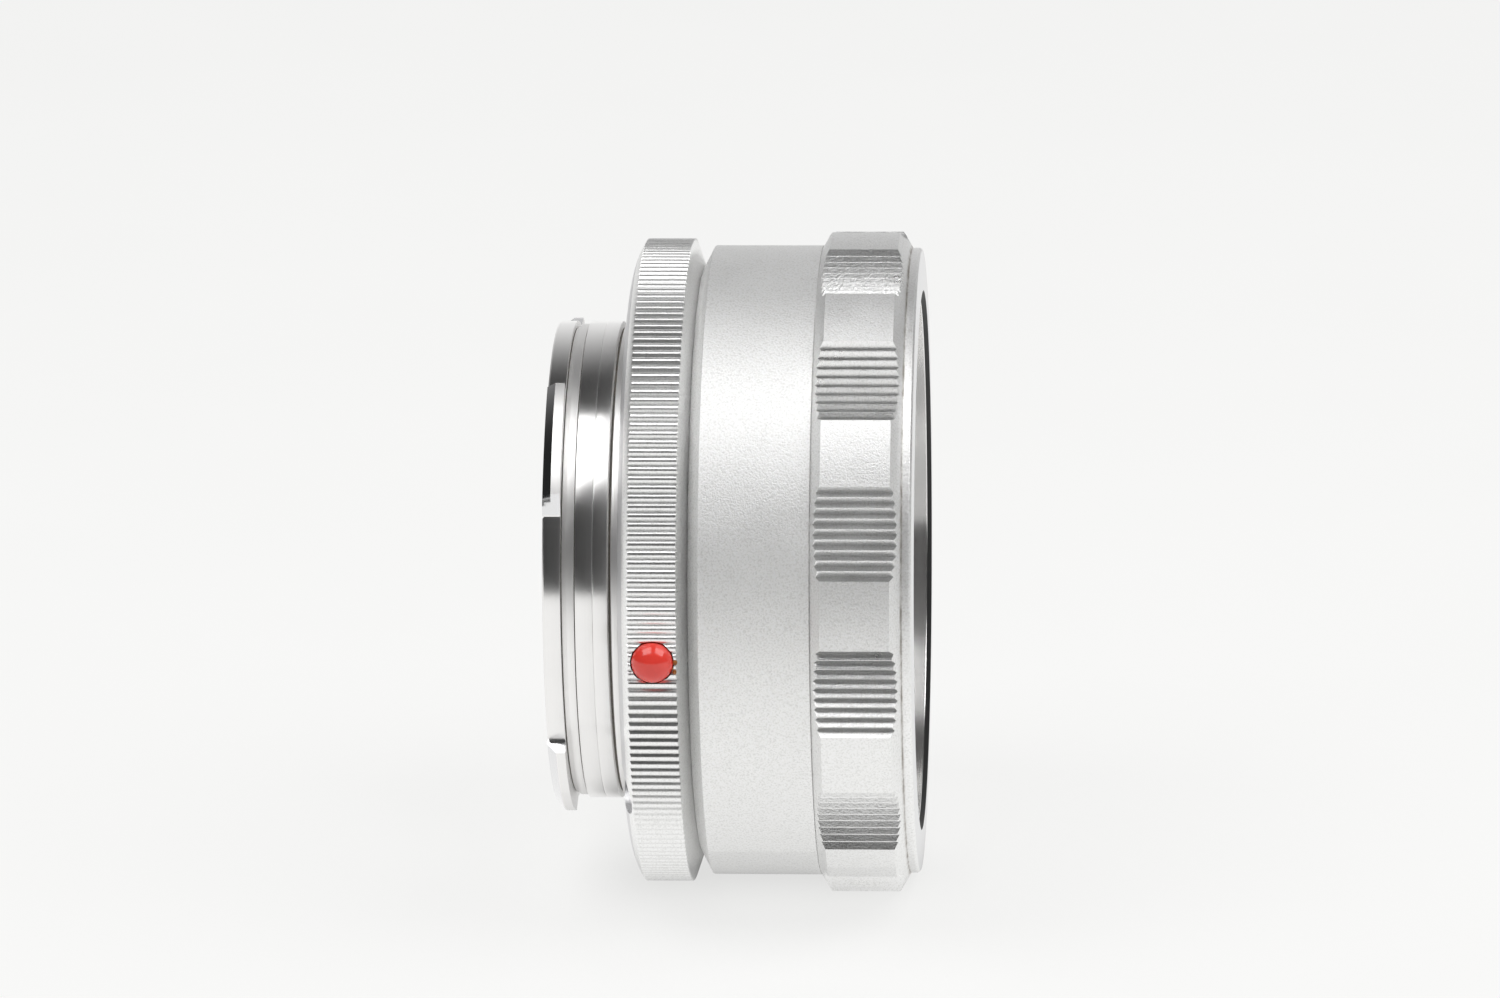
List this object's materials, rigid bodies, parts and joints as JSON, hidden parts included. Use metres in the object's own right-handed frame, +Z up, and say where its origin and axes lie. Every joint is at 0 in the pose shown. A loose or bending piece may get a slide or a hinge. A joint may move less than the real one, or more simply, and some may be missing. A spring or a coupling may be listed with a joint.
{
  "type": "lens mount adapter",
  "caption": "Chromed metal tube that joins a screw lens to a bayonet camera: polished boss with lugs, knurled ring with a red index bead, plain barrel, ridged grip ring and open lens socket.",
  "frame": {"origin": "on the optical axis, in the plane of the camera flange face", "axes": "+X along the optical axis towards the lens, +Z up with the adapter lying on its grip ring, +Y away from the side with the index bead"},
  "size_m": [0.0318, 0.0584, 0.0577],
  "materials": {
    "satin_chrome": "satin, bead-blasted",
    "polished_chrome": "polished, finely turned",
    "socket_chrome": "satin rim, polished socket, blackened inside",
    "screw_steel": "turned",
    "red_enamel": "glossy"
  },
  "bodies": {
    "root": {"bayonet": "polished_chrome", "bayonet_screws": "screw_steel", "mount_ring": "satin_chrome", "index_bead": "red_enamel", "barrel": "satin_chrome", "grip_ring": "satin_chrome", "front_ring": "socket_chrome"}
  },
  "joints": []
}
